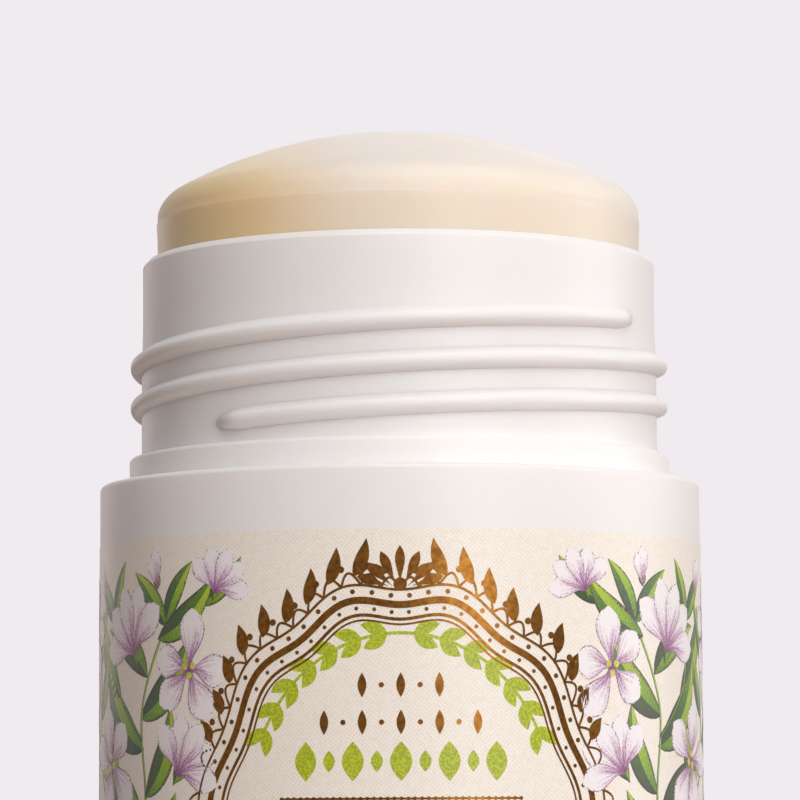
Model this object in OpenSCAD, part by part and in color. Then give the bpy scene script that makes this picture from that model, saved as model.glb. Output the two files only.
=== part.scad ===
// Twist-up deodorant stick in a round double-walled pack, with its cap off.
// Millimetres. Origin at the centre of the base, +Z up, front of the pack at -Y.

/* [Outer sleeve] */
// Outside diameter of the pack
body_d = 40; // [39.6:0.2:44]
// Height of the flat shoulder above the ground
shoulder_z = 58; // [52:0.5:70]
// Wall of the sleeve
sleeve_wall = 1.3; // [1.1:0.1:1.5]
// Thickness of the shoulder plate
shoulder_t = 1.4; // [1:0.1:2.5]
// Depth of the shoulder's step that seats the collar
seat_step = 0.3; // [0.2:0.05:0.5]
// Rounding of the shoulder's edge
shoulder_round = 0.35; // [0.2:0.05:0.8]
// Number of centring fins inside the sleeve
fin_count = 8; // [4:1:12]
// Thickness of a centring fin
fin_t = 1; // [0.8:0.1:1.6]

/* [Inner barrel] */
// Width of the shoulder, from the neck to the side of the pack
shoulder_w = 2.75; // [2.55:0.05:2.9]
// Wall of the barrel
barrel_wall = 0.85; // [0.8:0.05:1.2]
// Height of the neck above the shoulder
neck_h = 15.1; // [13:0.1:20]
// Rounding of the rim's outer lip
lip_round = 0.45; // [0.2:0.05:0.5]
// Overhang of the collar that seats on the shoulder, past the neck
collar_out = 0.8; // [0.75:0.05:1]
// Height of the collar
collar_h = 1.85; // [1.3:0.05:2.2]
// Rounding of the collar's upper edge
collar_round = 0.3; // [0.2:0.05:0.6]
// Thickness of the barrel's floor
floor_t = 1.6; // [1.2:0.1:2.4]
// Depth of the skirt that reaches down into the knob
skirt_h = 2.6; // [2:0.1:3]
// Number of guide ribs in the bore
guide_count = 3; // [2:1:4]
// Width of a guide rib
guide_w = 2; // [1.6:0.1:3]
// Height of a guide rib over the bore's wall
guide_h = 0.9; // [0.6:0.1:1.2]
// Distance of the guide ribs' tops below the rim
guide_drop = 6; // [5:0.5:10]

/* [Neck thread] */
// Axial distance between neighbouring ridges
thread_pitch = 2.72; // [2.5:0.02:2.9]
// Number of starts
thread_starts = 2; // [1:1:2]
// Turns of each start
thread_turns = 1.29; // [0.9:0.01:1.4]
// Height of the first ridge's middle above the shoulder, at the front
thread_z = 3.88; // [3.4:0.02:4.4]
// Where the first ridge begins, in degrees left of the front
thread_lead_in = 40.7; // [0:0.1:80]
// Width of a ridge at its root
ridge_w = 1.4; // [1.2:0.02:1.8]
// Height of a ridge over the neck
ridge_h = 0.74; // [0.5:0.02:0.74]

/* [Label] */
// Distance of the label's upper edge below the shoulder
label_drop = 4.1; // [3:0.1:8]
// Distance of the label's lower edge above the sleeve's foot
label_lift = 3.5; // [2:0.1:8]
// Thickness of the label
label_t = 0.05; // [0.04:0.01:0.12]
// Overlap of the label's ends at the back
label_overlap = 6; // [3:0.5:10]

/* [Stick] */
// Height of the dome's top above the rim, as it stands
dome_rise = 8.6; // [8:0.1:12]
// Radius of the dome
dome_r = 31; // [26:0.5:45]
// Rounding between the dome and the side
dome_round = 2.3; // [1:0.1:3]
// How far the stick has been raised from its lowest place
raised = 3; // [2:0.5:5]
// Overhang of the cast head over the side
head_bead = 0.06; // [0:0.02:0.14]

/* [Elevator] */
// Thickness of the platform
platform_t = 1.6; // [1.2:0.1:2.4]
// Depth of the wiping skirt below the platform
wiper_h = 2; // [1.4:0.1:2.2]
// Wall of the wiping skirt
wiper_t = 0.9; // [0.7:0.1:1.4]
// Height of the nut above the platform's underside
nut_h = 10; // [9.5:0.5:14]
// Wall of the nut round its bore
nut_wall = 2; // [1.4:0.1:2.6]
// Distance of the ring that holds the wax from the bore's wall
grip_inset = 3.35; // [2.35:0.05:5]
// Height of the ring and its webs above the platform
grip_h = 6; // [4:0.5:8]
// Thickness of the ring and its webs
grip_t = 1.2; // [1:0.1:1.8]
// Number of webs
grip_webs = 4; // [3:1:6]

/* [Spindle] */
// Outside diameter of the spindle's thread
screw_d = 8; // [7.4:0.1:8.2]
// Diameter of the spindle's core
core_d = 5.8; // [5.4:0.1:6]
// Rise of the stick for one turn of the knob
screw_lead = 4; // [3.8:0.1:5]
// Distance of the spindle's tip below the rim
tip_drop = 2.6; // [2:0.1:6]
// Length of the tail that the knob grips
tail_h = 8; // [6:0.5:9]

/* [Knob] */
// Height of the knob
knob_h = 11.5; // [10.5:0.1:15]
// Running gap between the knob and the sleeve
knob_gap = 0.5; // [0.3:0.1:0.8]
// Side wall of the knob
knob_wall = 1.5; // [1.2:0.1:1.7]
// Thickness of the knob's bottom
knob_floor = 1.8; // [1.4:0.1:2.4]
// Number of grip flutes
flute_count = 56; // [24:1:64]
// Radius of a grip flute
flute_r = 0.7; // [0.5:0.05:0.8]
// Depth of a grip flute
flute_depth = 0.4; // [0.2:0.05:0.5]
// Wall of the hub round the spindle's tail
hub_wall = 1.8; // [1.4:0.1:2.4]
// Number of stiffening webs
web_count = 12; // [6:1:14]
// Thickness of a stiffening web
web_t = 1; // [0.8:0.1:1.6]

/* [Fits] */
// Gap between the stick and the bore, all round
stick_gap = 0.15; // [0.12:0.01:0.3]
// Gap between the elevator and the bore, all round
slide_gap = 0.18; // [0.12:0.01:0.25]
// Running clearance of the spindle in its bearing, all round
bearing_gap = 0.05; // [0.03:0.01:0.09]
// Clearance between the spindle's thread and the nut
screw_gap = 0.2; // [0.16:0.01:0.25]
// Clearance of the barrel in the sleeve, all round
nest_gap = 0.05; // [0.02:0.01:0.1]

/* [Hidden] */
$fn = 96;

white = [0.96, 0.95, 0.93];
cream = [0.95, 0.90, 0.80];
wax = [0.94, 0.88, 0.78];
grey = [0.88, 0.88, 0.86];

front = -90;
body_r = body_d / 2;
neck_r = body_r - shoulder_w;
bore_r = neck_r - barrel_wall;
collar_r = neck_r + collar_out;
spigot_r = neck_r + collar_out / 2;
sleeve_z = knob_h + knob_gap;
sleeve_in_r = body_r - sleeve_wall;
rim_z = shoulder_z + neck_h;
collar_top = shoulder_z + collar_h;
seat_z = shoulder_z - seat_step;
floor_top = sleeve_z + floor_t;
small_edge = 0.3;
fuse = 0.2;
fin_z = sleeve_z + 2;
end_dip = 0.15;
land_h = 0.08;
land_sides = 72;
land_margin = 0.4;
thread_run_in = 10;

// Places of the label on the sleeve.
label_top = shoulder_z - label_drop;
label_foot = sleeve_z + label_lift;

// Places of the running gear. The stick and the elevator are drawn as they stand, raised.
snap_h = 1.4;
snap_over = 0.5;
floor_play = 0.1;
park_gap = 0.3;
journal_r = screw_d / 2 + 0.1;
bearing_r = journal_r + bearing_gap;
snap_z = floor_top + floor_play;
wiper_z = floor_top + park_gap + raised;
platform_z = wiper_z + wiper_h;
platform_top = platform_z + platform_t;
elevator_r = bore_r - slide_gap;
grip_r = bore_r - grip_inset;
tip_z = rim_z - tip_drop;
guide_top = rim_z - guide_drop;
guide_gap = 0.25;

// Dome: a sphere that runs into the side through a fillet.
stick_r = bore_r - stick_gap;
dome_z = rim_z + dome_rise;
dome_c = dome_z - dome_r;
fillet_c_r = stick_r - dome_round;
fillet_c_z = dome_c + sqrt(pow(dome_r - dome_round, 2) - pow(fillet_c_r, 2));
fillet_turn = atan2(fillet_c_z - dome_c, fillet_c_r);

// Screw: the nut's ridge runs midway between two ridges of the spindle.
screw_z = snap_z + snap_h + 0.8;
screw_turns = (tip_z - 1.6 - screw_z) / screw_lead;
screw_steps = 20;
half_step = 180 / screw_steps;
screw_root_w = 0.48 * screw_lead;
screw_crest_w = 0.3 * screw_lead;
screw_run_in = 40;
nut_bore_r = screw_d / 2 + screw_gap;
nut_tooth = nut_bore_r - core_d / 2 - screw_gap;
nut_turns = 1.4;
nut_run_in = 20;
nut_from = platform_z + (nut_h - nut_turns * screw_lead) / 2;
nut_phase = 360 * ((nut_from - screw_z) / screw_lead + 0.5);
bore_play = 0.5;

// Points on an arc about [x, y], from angle a to angle b.
function arc(x, y, r, a, b, n = 6) =
    [for (i = [0 : n]) let (t = a + (b - a) * i / n) [x + r * cos(t), y + r * sin(t)]];

// Section of a ridge as [height, offset along the axis], sunk into what carries it.
function ridge(root_w, crest_w, h, sink) =
    [[-sink, -root_w / 2], [h, -crest_w / 2], [h, crest_w / 2], [-sink, root_w / 2]];

// The neck's ridge: two equal flanks, as a cap's thread needs, and a rounded crest.
function round_ridge(w, h, sink) =
    let (half = [[-sink, 0.64 * w], [0.35 * h, 0.39 * w], [0.82 * h, 0.25 * w], [h, 0.1 * w]])
        concat([for (p = half) [p[0], -p[1]]], reversed(half));

function reversed(list) = [for (i = [len(list) - 1 : -1 : 0]) list[i]];

// A ridge swept along a helix. It rises out of the wall over run_in degrees at both ends.
// side is 1 for a ridge that stands out of a shaft and -1 for one inside a bore.
module helix(section, r, lead, turns, run_in, side = 1, per_turn = 60) {
    steps = ceil(turns * per_turn);
    pts = side > 0 ? section : reversed(section);
    n = len(pts);
    points = [for (i = [0 : steps])
        let (a = 360 * turns * i / steps,
             grow = min(1, a / run_in, (360 * turns - a) / run_in))
        for (p = pts)
            let (h = p[0] > 0 ? (p[0] + end_dip) * grow - end_dip : p[0], q = r + side * h)
            [q * cos(a), q * sin(a), lead * a / 360 + p[1]]];
    sides = [for (i = [0 : steps - 1]) for (j = [0 : n - 1])
        let (k = (j + 1) % n, a = i * n, b = (i + 1) * n)
        each [[a + j, a + k, b + k], [a + j, b + k, b + j]]];
    start_cap = [for (j = [n - 1 : -1 : 0]) j];
    end_cap = [for (j = [0 : n - 1]) steps * n + j];
    polyhedron(points, concat(sides, [start_cap, end_cap]));
}

module ring(r_out, r_in, z, h) {
    translate([0, 0, z])
        difference() {
            cylinder(r = r_out, h = h);
            translate([0, 0, -1]) cylinder(r = r_in, h = h + 2);
        }
}

module around(count, first = 0) {
    for (i = [0 : count - 1]) rotate([0, 0, first + 360 * i / count]) children();
}

// A radial plate from r_from to r_to.
module plate(r_from, r_to, t, z, h) {
    translate([r_from, -t / 2, z]) cube([r_to - r_from, t, h]);
}

// Outer sleeve: shoulder, the step that seats the collar, and the fins that centre the barrel.
module outer_sleeve() {
    color(white) {
        rotate_extrude()
            polygon(concat(
                [[sleeve_in_r, sleeve_z], [body_r - small_edge, sleeve_z], [body_r, sleeve_z + small_edge]],
                arc(body_r - shoulder_round, shoulder_z - shoulder_round, shoulder_round, 0, 90),
                [[collar_r + nest_gap, shoulder_z], [collar_r + nest_gap, seat_z], [neck_r + nest_gap, seat_z],
                 [neck_r + nest_gap, shoulder_z - shoulder_t], [sleeve_in_r, shoulder_z - shoulder_t]]));
        around(fin_count, 180 / fin_count)
            difference() {
                plate(neck_r - 1, sleeve_in_r + sleeve_wall / 3, fin_t, fin_z, shoulder_z - shoulder_t - fin_z + fuse);
                translate([0, 0, sleeve_z]) cylinder(r = neck_r + 3 * nest_gap, h = shoulder_z);
            }
    }
}

// Inner barrel: threaded neck, collar, bore with guide ribs, and the floor with its bearing.
module inner_barrel() {
    color(white) {
        difference() {
            rotate_extrude()
                polygon(concat(
                    [[bore_r, sleeve_z - skirt_h], [neck_r, sleeve_z - skirt_h], [neck_r, seat_z],
                     [spigot_r, seat_z], [spigot_r, shoulder_z], [collar_r, shoulder_z]],
                    arc(collar_r - collar_round, collar_top - collar_round, collar_round, 0, 90),
                    [[neck_r - land_h, collar_top]],
                    arc(neck_r - land_h - lip_round, rim_z - lip_round, lip_round, 0, 90),
                    [[bore_r + 0.15, rim_z], [bore_r, rim_z - 0.15], [bore_r, floor_top],
                     [0, floor_top], [0, sleeve_z], [bore_r, sleeve_z]]));
            translate([0, 0, sleeve_z - 1]) cylinder(r = bearing_r, h = floor_t + 2);
        }
        around(guide_count, front + 180)
            intersection() {
                plate(bore_r - guide_h, neck_r - barrel_wall / 2, guide_w, floor_top - fuse, guide_top - floor_top + fuse);
                cylinder(r = neck_r - barrel_wall / 2, h = rim_z);
            }
        thread_land();
        neck_thread();
    }
}

// The belt of the neck that carries the thread, with one flat side for each step round it.
module thread_land() {
    top = shoulder_z + thread_z + thread_pitch * thread_starts * thread_turns + land_margin;
    translate([0, 0, shoulder_z + collar_h / 2])
        linear_extrude(height = top - shoulder_z - collar_h / 2)
            difference() {
                polygon([for (i = [0 : land_sides - 1])
                    let (a = 360 * (i + 0.5) / land_sides) [neck_r * cos(a), neck_r * sin(a)]]);
                circle(r = bore_r + barrel_wall / 3);
            }
}

module neck_thread() {
    lead = thread_pitch * thread_starts;
    start_z = shoulder_z + thread_z - lead * thread_lead_in / 360;
    around(thread_starts, front - thread_lead_in)
        translate([0, 0, start_z])
            helix(round_ridge(ridge_w, ridge_h, 0.3), neck_r, lead, thread_turns, thread_run_in);
}

// Wrap-round label with its ends overlapping at the back.
module wrap_label() {
    flap = 360 * label_overlap / (PI * body_d);
    flap_reach = body_r + 1;
    h = label_top - label_foot;
    color(cream)
        translate([0, 0, label_foot])
            linear_extrude(height = h)
                difference() {
                    union() {
                        circle(r = body_r + label_t);
                        intersection() {
                            circle(r = body_r + 2 * label_t);
                            rotate(front + 180 - flap / 2)
                                polygon([[0, 0], [flap_reach, 0], [flap_reach, flap_reach * tan(flap / 2)],
                                         [flap_reach * cos(flap), flap_reach * sin(flap)]]);
                        }
                    }
                    circle(r = body_r);
                }
}

// Cast stick: domed head, bore round the spindle, and the places of the elevator's grip and ribs.
module product_stick() {
    bead_z = fillet_c_z - 0.45;
    side_r = stick_r - head_bead;
    color(wax)
        difference() {
            rotate_extrude()
                polygon(concat(
                    [[0, platform_top], [side_r, platform_top], [side_r, bead_z], [stick_r, bead_z + 0.15]],
                    arc(fillet_c_r, fillet_c_z, dome_round, 0, fillet_turn, 8),
                    arc(0, dome_c, dome_r, fillet_turn, 90, 20)));
            translate([0, 0, platform_top - 1])
                cylinder(r = nut_bore_r + bore_play, h = tip_z + raised + bore_play - platform_top + 1);
            grip(platform_top - 1, grip_h + 1);
            nut_body(platform_top - 1, platform_z + nut_h);
            guide_slots(platform_top - 1, guide_top + raised + guide_gap);
        }
}

// What the wax is cast round: webs and a ring that stand on the platform.
module grip(z, h) {
    ring(grip_r, grip_r - grip_t, z, h);
    around(grip_webs, 45) plate(nut_bore_r + nut_wall - 0.4, grip_r - grip_t / 2, grip_t, z, h);
}

module nut_body(z, top) {
    translate([0, 0, z]) cylinder(r = nut_bore_r + nut_wall, h = top - z);
}

module guide_slots(z, top) {
    around(guide_count, front + 180)
        plate(bore_r - guide_h - guide_gap, bore_r + 1, guide_w + 2 * guide_gap, z, top - z);
}

// Elevator: platform, wiping skirt, grip for the wax, and the nut.
module elevator() {
    color(grey) {
        difference() {
            union() {
                ring(elevator_r, nut_bore_r, platform_z, platform_t);
                ring(elevator_r, elevator_r - wiper_t, wiper_z, wiper_h + platform_t / 2);
                grip(platform_z + platform_t / 2, grip_h + platform_t / 2);
                nut_body(platform_z, platform_z + nut_h);
            }
            translate([0, 0, wiper_z - 1])
                rotate([0, 0, half_step]) cylinder(r = nut_bore_r, h = nut_h + wiper_h + 3);
            guide_slots(wiper_z - 1, platform_top + 1);
        }
        translate([0, 0, nut_from])
            rotate([0, 0, -nut_phase])
                mirror([0, 1, 0])
                    helix(ridge(screw_root_w, screw_crest_w, nut_tooth, 0.4), nut_bore_r, screw_lead,
                          nut_turns, nut_run_in, -1, screw_steps);
    }
}

// Spindle: splined tail, journal, snap ring and left-hand screw.
module spindle() {
    color(grey) {
        translate([0, 0, sleeve_z - floor_play - tail_h]) tail(0, tail_h);
        translate([0, 0, sleeve_z - floor_play - 1]) cylinder(r = journal_r, h = floor_t + 2 * floor_play + 1.5);
        translate([0, 0, snap_z])
            rotate_extrude()
                polygon([[0, 0], [journal_r + snap_over, 0], [journal_r + snap_over, snap_h / 3],
                         [journal_r - 0.2, snap_h], [0, snap_h]]);
        translate([0, 0, snap_z]) cylinder(d = core_d, h = tip_z - snap_z - 1);
        translate([0, 0, tip_z - 1]) cylinder(d1 = core_d, d2 = core_d - 1.6, h = 1);
        translate([0, 0, screw_z])
            mirror([0, 1, 0])
                helix(ridge(screw_root_w, screw_crest_w, (screw_d - core_d) / 2, 0.4), core_d / 2, screw_lead,
                      screw_turns, screw_run_in, 1, screw_steps);
    }
}

// Six-tooth spline of the spindle's tail, grown by play for the knob's socket.
module tail(play, h) {
    cylinder(r = core_d / 2 - 0.3 + play, h = h);
    around(6) plate(0, journal_r - 0.1 + play, 1.2 + 2 * play, 0, h);
}

// Knob: fluted cup with a recessed base, a hub for the spindle and stiffening webs.
module base_knob() {
    inside_r = body_r - knob_wall;
    hub_r = journal_r + hub_wall;
    tail_z = sleeve_z - floor_play - tail_h;
    web_top = sleeve_z - skirt_h - 0.6;
    flute_margin = 1.6;
    color(white) {
        difference() {
            rotate_extrude()
                polygon([[0, 0.5], [body_r - 4.5, 0.5], [body_r - 4, 0], [body_r - 0.8, 0], [body_r, 0.8],
                         [body_r, knob_h - small_edge], [body_r - small_edge, knob_h], [inside_r, knob_h],
                         [inside_r, knob_floor], [0, knob_floor]]);
            around(flute_count)
                translate([body_r + flute_r - flute_depth, 0, flute_margin])
                    cylinder(r = flute_r, h = knob_h - 2 * flute_margin, $fn = 24);
        }
        difference() {
            translate([0, 0, knob_floor - fuse]) cylinder(r = hub_r, h = sleeve_z - floor_play - small_edge - knob_floor + fuse);
            translate([0, 0, tail_z]) tail(0.02, tail_h + 1);
            translate([0, 0, sleeve_z - floor_play - 1]) cylinder(r = journal_r + 0.05, h = 2);
        }
        around(web_count)
            plate(hub_r - 0.3, inside_r + knob_wall / 3, web_t, knob_floor - fuse, web_top - knob_floor + fuse);
    }
}

outer_sleeve();
inner_barrel();
wrap_label();
product_stick();
elevator();
spindle();
base_knob();
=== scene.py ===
"""Looks of a twist-up deodorant stick: moulded white plastic, cast wax and a printed wrap-round label.

Sizes are in millimetres and become metres when a piece is finished. The front of the label faces -Y.
"""
import math

import bmesh
import bpy
from mathutils import Euler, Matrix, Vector


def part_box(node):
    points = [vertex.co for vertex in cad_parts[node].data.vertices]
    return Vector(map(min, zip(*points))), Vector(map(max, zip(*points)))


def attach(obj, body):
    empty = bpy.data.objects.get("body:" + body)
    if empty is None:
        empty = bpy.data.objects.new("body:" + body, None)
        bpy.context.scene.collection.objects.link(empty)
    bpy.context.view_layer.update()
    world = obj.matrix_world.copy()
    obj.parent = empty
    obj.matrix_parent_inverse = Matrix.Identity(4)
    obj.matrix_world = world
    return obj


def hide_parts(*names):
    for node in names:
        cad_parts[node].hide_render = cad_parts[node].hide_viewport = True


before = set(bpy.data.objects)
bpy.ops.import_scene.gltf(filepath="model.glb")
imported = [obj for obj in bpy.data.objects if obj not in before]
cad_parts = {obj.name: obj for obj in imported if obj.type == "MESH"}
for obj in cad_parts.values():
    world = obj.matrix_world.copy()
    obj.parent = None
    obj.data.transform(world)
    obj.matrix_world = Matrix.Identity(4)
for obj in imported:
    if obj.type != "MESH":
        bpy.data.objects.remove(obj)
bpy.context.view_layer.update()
MM = 0.001
TURN = 2 * math.pi


def box_mm(name):
    """Lowest and highest corner of a node of the frame, in millimetres."""
    low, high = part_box(name)
    return low / MM, high / MM


# Driving sizes, from the frame.
sleeve_low, sleeve_high = box_mm("outer_sleeve")
barrel_low, barrel_high = box_mm("inner_barrel")
label_low, label_high = box_mm("wrap_label")
stick_low, stick_high = box_mm("product_stick")

BODY_R = sleeve_high.x
SHOULDER_Z = sleeve_high.z
SLEEVE_Z = sleeve_low.z
RIM_Z = barrel_high.z
SKIRT_Z = barrel_low.z
COLLAR_R = barrel_high.x
LABEL_TOP = label_high.z
LABEL_FOOT = label_low.z
LABEL_R = label_high.x
STICK_R = stick_high.x
STICK_FOOT = stick_low.z
DOME_Z = stick_high.z

# Sizes inside the pieces, as in the part's source, apart from where the thread starts and ends.
# Sleeve and label.
SLEEVE_WALL = 1.3
SHOULDER_T = 1.4
SHOULDER_ROUND = 0.35
SEAT_STEP = 0.3
NEST = 0.05
LABEL_T = 0.05
# Barrel: neck, collar, floor, bearing and guide ribs.
NECK_R = 17.25
LAND_H = 0.08
BORE_R = 16.4
SPIGOT_R = (NECK_R + COLLAR_R) / 2
COLLAR_H = 1.85
COLLAR_ROUND = 0.3
LIP_ROUND = 0.45
FLOOR_T = 1.6
JOURNAL_R = 4.1
BEARING_R = JOURNAL_R + 0.05
GUIDE_COUNT = 3
GUIDE_W = 2.0
GUIDE_H = 0.9
GUIDE_GAP = 0.25
GUIDE_DROP = 6.0
# Thread.
THREAD_PITCH = 2.72
THREAD_STARTS = 2
THREAD_TURNS = 1.3
THREAD_Z = 3.88
THREAD_LEAD_IN = math.radians(44.5)
RIDGE_W = 1.4
RIDGE_H = 0.74
# Wax, as it stands raised: its dome, its fillet, the fine line round its head, and its bore.
RAISED = 3.0
DOME_R = 31.0
DOME_ROUND = 2.3
DOME_CENTRE = DOME_Z - DOME_R
DOME_FILLET_R = STICK_R - DOME_ROUND
DOME_FILLET_Z = DOME_CENTRE + math.sqrt((DOME_R - DOME_ROUND) ** 2 - DOME_FILLET_R ** 2)
DOME_LINE = DOME_FILLET_Z - 0.1
HEAD_BEAD = 0.06
TIP_DROP = 2.6
WAX_BORE_R = 4.7
WAX_BORE_PLAY = 0.5
NUT_R = 6.2
NUT_RISE = 8.4
# Knob.
KNOB_H = SLEEVE_Z - 0.5
KNOB_WALL = 1.5
KNOB_FLOOR = 1.8
HUB_R = JOURNAL_R + 1.8
# Angle of the front, which faces -Y.
FRONT = -math.pi / 2


# Materials

# Sockets of a Mix node that mixes colours.
FACTOR, COLOUR_A, COLOUR_B, MIXED = 0, 6, 7, 2


def colour(code):
    """A linear colour from an sRGB hex value."""
    channels = [int(code[i:i + 2], 16) / 255 for i in (0, 2, 4)]
    linear = [c / 12.92 if c <= 0.04045 else ((c + 0.055) / 1.055) ** 2.4 for c in channels]
    return (*linear, 1.0)


def add(tree, kind, inputs=None, stops=(), **settings):
    """Adds a node, sets its properties and a ramp's (position, hex) stops, and sets or links its inputs."""
    made = tree.nodes.new(kind)
    for name, value in settings.items():
        setattr(made, name, value)
    for name, value in (inputs or {}).items():
        if isinstance(value, bpy.types.NodeSocket):
            tree.links.new(value, made.inputs[name])
        else:
            made.inputs[name].default_value = value
    if stops:
        elements = made.color_ramp.elements
        while len(elements) < len(stops):
            elements.new(0.5)
        for element, (position, code) in zip(elements, stops):
            element.position = position
            element.color = colour(code)
    return made


def new_material(name, **sockets):
    """A material with one Principled shader, whose sockets are set by name with _ for a space."""
    made = bpy.data.materials.new(name)
    made.use_nodes = True
    tree = made.node_tree
    shader = next(n for n in tree.nodes if n.type == "BSDF_PRINCIPLED")
    for socket, value in sockets.items():
        shader.inputs[socket.replace("_", " ")].default_value = value
    return made, tree, shader


def moulded_polypropylene():
    """Injection-moulded white polypropylene: a soft satin gloss, faintly milky, with a fine even skin."""
    made, tree, shader = new_material("moulded_polypropylene", Roughness=0.45, IOR=1.49,
                                      Subsurface_Weight=0.2, Subsurface_Scale=1.0 * MM)
    shader.inputs["Subsurface Radius"].default_value = (1.6, 1.3, 1.1)
    place = add(tree, "ShaderNodeTexCoord").outputs["Object"]
    cloud = add(tree, "ShaderNodeTexNoise", {"Vector": place, "Scale": 1 / (9 * MM), "Detail": 2.0})
    tone = add(tree, "ShaderNodeValToRGB", {"Fac": cloud.outputs["Fac"]}, [(0.3, "F5F3F1"), (0.7, "F7F5F3")])
    tree.links.new(tone.outputs["Color"], shader.inputs["Base Color"])
    skin = add(tree, "ShaderNodeTexNoise", {"Vector": place, "Scale": 1 / (0.16 * MM), "Detail": 2.0})
    bump = add(tree, "ShaderNodeBump", {"Height": skin.outputs["Fac"], "Strength": 0.3,
                                        "Distance": 0.02 * MM})
    tree.links.new(bump.outputs["Normal"], shader.inputs["Normal"])
    return made


def natural_polypropylene():
    """Unpigmented polypropylene of the hidden mechanism: greyer and more see-through than the white."""
    made, tree, shader = new_material("natural_polypropylene", Roughness=0.42, IOR=1.49,
                                      Subsurface_Weight=0.35, Subsurface_Scale=1.5 * MM)
    place = add(tree, "ShaderNodeTexCoord").outputs["Object"]
    cloud = add(tree, "ShaderNodeTexNoise", {"Vector": place, "Scale": 1 / (6 * MM), "Detail": 3.0})
    tone = add(tree, "ShaderNodeValToRGB", {"Fac": cloud.outputs["Fac"]}, [(0.3, "D9DAD4"), (0.7, "E4E4DE")])
    tree.links.new(tone.outputs["Color"], shader.inputs["Base Color"])
    return made


def cast_wax():
    """Cast deodorant wax: cream and light-passing, with painted amber shade low down at its rim and a dull
    sheen as of oil.
    """
    made, tree, shader = new_material("cast_wax", Roughness=0.42, IOR=1.38,
                                      Subsurface_Weight=1.0, Subsurface_Scale=1.8 * MM)
    shader.inputs["Subsurface Radius"].default_value = (1.0, 0.75, 0.5)
    place = add(tree, "ShaderNodeTexCoord").outputs["Object"]
    cloud = add(tree, "ShaderNodeTexNoise", {"Vector": place, "Scale": 1 / (5 * MM), "Detail": 4.0})
    tone = add(tree, "ShaderNodeValToRGB", {"Fac": cloud.outputs["Fac"]}, [(0.3, "F0E8DD"), (0.7, "F3ECE4")])
    height = add(tree, "ShaderNodeSeparateXYZ", {"Vector": place}).outputs["Z"]
    # Painted amber shade near the barrel's rim, where only light that has come through the wax gets out.
    low = add(tree, "ShaderNodeMapRange", {"Value": height, "From Min": (DOME_LINE + 3) * MM,
                                           "From Max": (RIM_Z - 0.5) * MM}, interpolation_type="SMOOTHSTEP")
    warm = add(tree, "ShaderNodeMix", {FACTOR: low.outputs[0], COLOUR_A: tone.outputs["Color"],
                                       COLOUR_B: colour("F2E4D0")}, data_type="RGBA")
    # Two amber clouds: the one low on the front left is painted amber shade, and the other is at the back
    # right.
    spots = None
    spot_core = 4.0
    for spot, reach in (((-13.5, -9.0, RIM_Z - 0.6), 14.0), ((11.0, 12.0, RIM_Z + 0.4), 12.0)):
        far = add(tree, "ShaderNodeVectorMath", {0: place, 1: Vector(spot) * MM}, operation="DISTANCE")
        near = add(tree, "ShaderNodeMapRange", {"Value": far.outputs["Value"], "From Min": reach * MM,
                                                "From Max": spot_core * MM},
                   interpolation_type="SMOOTHSTEP").outputs[0]
        spots = near if spots is None else add(tree, "ShaderNodeMath", {0: spots, 1: near},
                                               operation="MAXIMUM").outputs[0]
    amber_shade_and_cloud = add(tree, "ShaderNodeMix", {FACTOR: spots, COLOUR_A: warm.outputs[MIXED],
                                       COLOUR_B: colour("FFDBA6")}, data_type="RGBA")
    tree.links.new(amber_shade_and_cloud.outputs[MIXED], shader.inputs["Base Color"])
    pores = add(tree, "ShaderNodeTexNoise", {"Vector": place, "Scale": 1 / (0.35 * MM), "Detail": 5.0})
    bump = add(tree, "ShaderNodeBump", {"Height": pores.outputs["Fac"], "Strength": 0.35,
                                        "Distance": 0.03 * MM})
    # Hair-fine level lines that the mould left round the shoulder of the dome.
    level = add(tree, "ShaderNodeMapping", {"Vector": place, "Scale": (0.04, 0.04, 1.0)})
    lines = add(tree, "ShaderNodeTexNoise", {"Vector": level.outputs["Vector"], "Scale": 1 / (0.35 * MM),
                                             "Detail": 2.0})
    rise = add(tree, "ShaderNodeMapRange", {"Value": height, "From Min": DOME_LINE * MM,
                                            "From Max": (DOME_LINE + 0.5) * MM})
    fall = add(tree, "ShaderNodeMapRange", {"Value": height, "From Min": (DOME_LINE + 2.6) * MM,
                                            "From Max": (DOME_LINE + 1.2) * MM})
    band = add(tree, "ShaderNodeMath", {0: rise.outputs[0], 1: fall.outputs[0]}, operation="MULTIPLY")
    streaks = add(tree, "ShaderNodeMath", {0: lines.outputs["Fac"], 1: band.outputs[0]},
                  operation="MULTIPLY")
    ridged = add(tree, "ShaderNodeBump", {"Height": streaks.outputs[0], "Normal": bump.outputs["Normal"],
                                          "Strength": 0.5, "Distance": 0.05 * MM})
    tree.links.new(ridged.outputs["Normal"], shader.inputs["Normal"])
    return made


def printed(name):
    """A satin printed film whose colour comes from what is linked to it."""
    return new_material(name, Roughness=0.42, IOR=1.5)


def unrolled(tree):
    """Object coordinates unrolled from the round pack: along its girth, and up."""
    place = add(tree, "ShaderNodeTexCoord").outputs["Object"]
    parts = add(tree, "ShaderNodeSeparateXYZ", {"Vector": place})
    back = add(tree, "ShaderNodeMath", {0: parts.outputs["Y"], 1: -1.0}, operation="MULTIPLY")
    turn = add(tree, "ShaderNodeMath", {0: parts.outputs["X"], 1: back.outputs[0]}, operation="ARCTAN2")
    girth = add(tree, "ShaderNodeMath", {0: turn.outputs[0], 1: LABEL_R * MM}, operation="MULTIPLY")
    flat = add(tree, "ShaderNodeCombineXYZ", {"X": girth.outputs[0], "Y": parts.outputs["Z"]})
    return flat.outputs["Vector"]


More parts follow.
